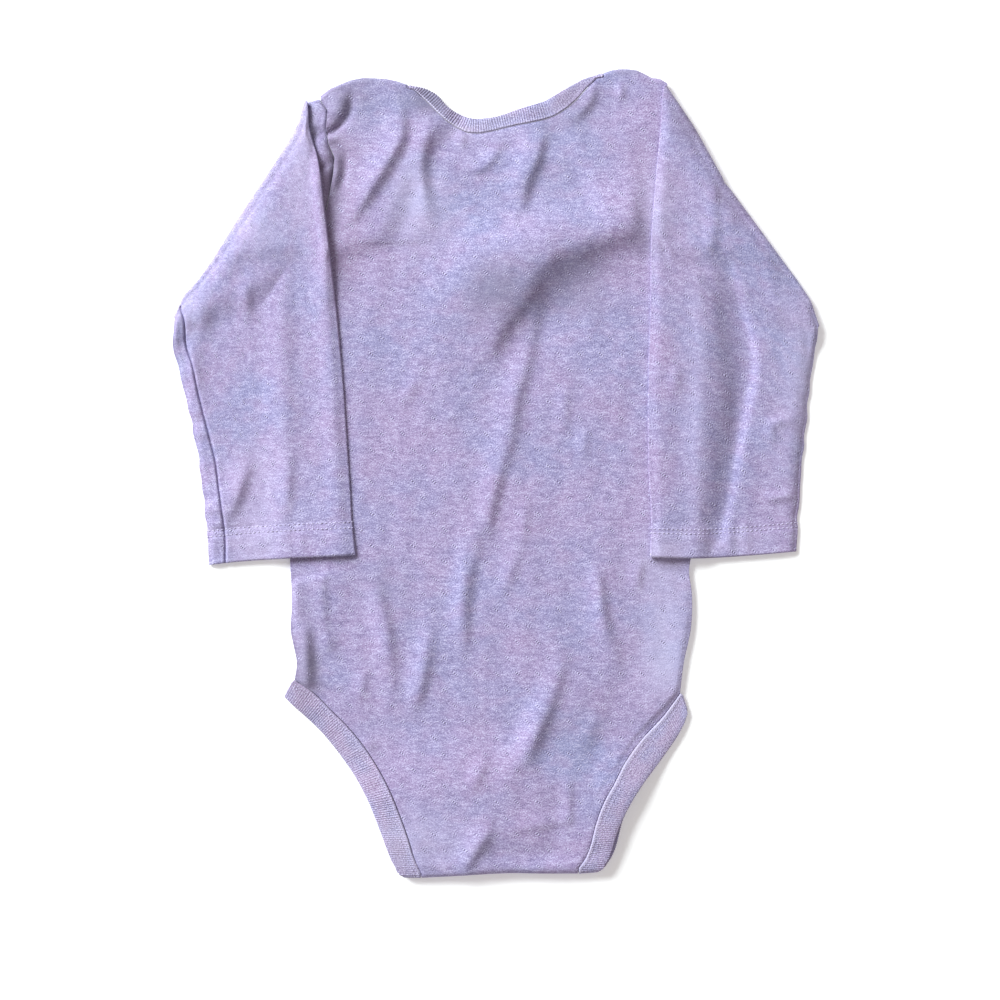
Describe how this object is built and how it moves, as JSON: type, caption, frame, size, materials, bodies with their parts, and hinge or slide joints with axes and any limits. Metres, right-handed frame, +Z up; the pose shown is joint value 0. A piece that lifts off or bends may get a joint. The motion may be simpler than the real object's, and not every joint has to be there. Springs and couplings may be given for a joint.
{
  "type": "baby bodysuit",
  "caption": "Long-sleeved baby bodysuit in heather jersey with envelope shoulders, rib bindings and crotch snaps, laid flat on its front with the sleeves folded down.",
  "frame": {"origin": "middle of the garment's outline, on the surface that it lies on", "axes": "+Y from the crotch to the neckline, +Z up through the layers to the back of the garment, +X to the right as seen from above"},
  "size_m": [0.323, 0.4046, 0.0102],
  "materials": {
    "jersey": "matt heather cotton jersey",
    "rib": "matt heather cotton rib knit",
    "snap": "glossy pale plastic"
  },
  "bodies": {
    "root": {"back_panel": "jersey", "front_panel": "jersey", "sleeve_left": "jersey", "sleeve_right": "jersey", "neck_binding_back": "rib", "neck_binding_front": "rib", "leg_binding_left": "rib", "leg_binding_right": "rib", "snap_cap_left": "snap", "snap_cap_middle": "snap", "snap_cap_right": "snap", "snap_socket_left": "snap", "snap_socket_middle": "snap", "snap_socket_right": "snap"}
  },
  "joints": []
}
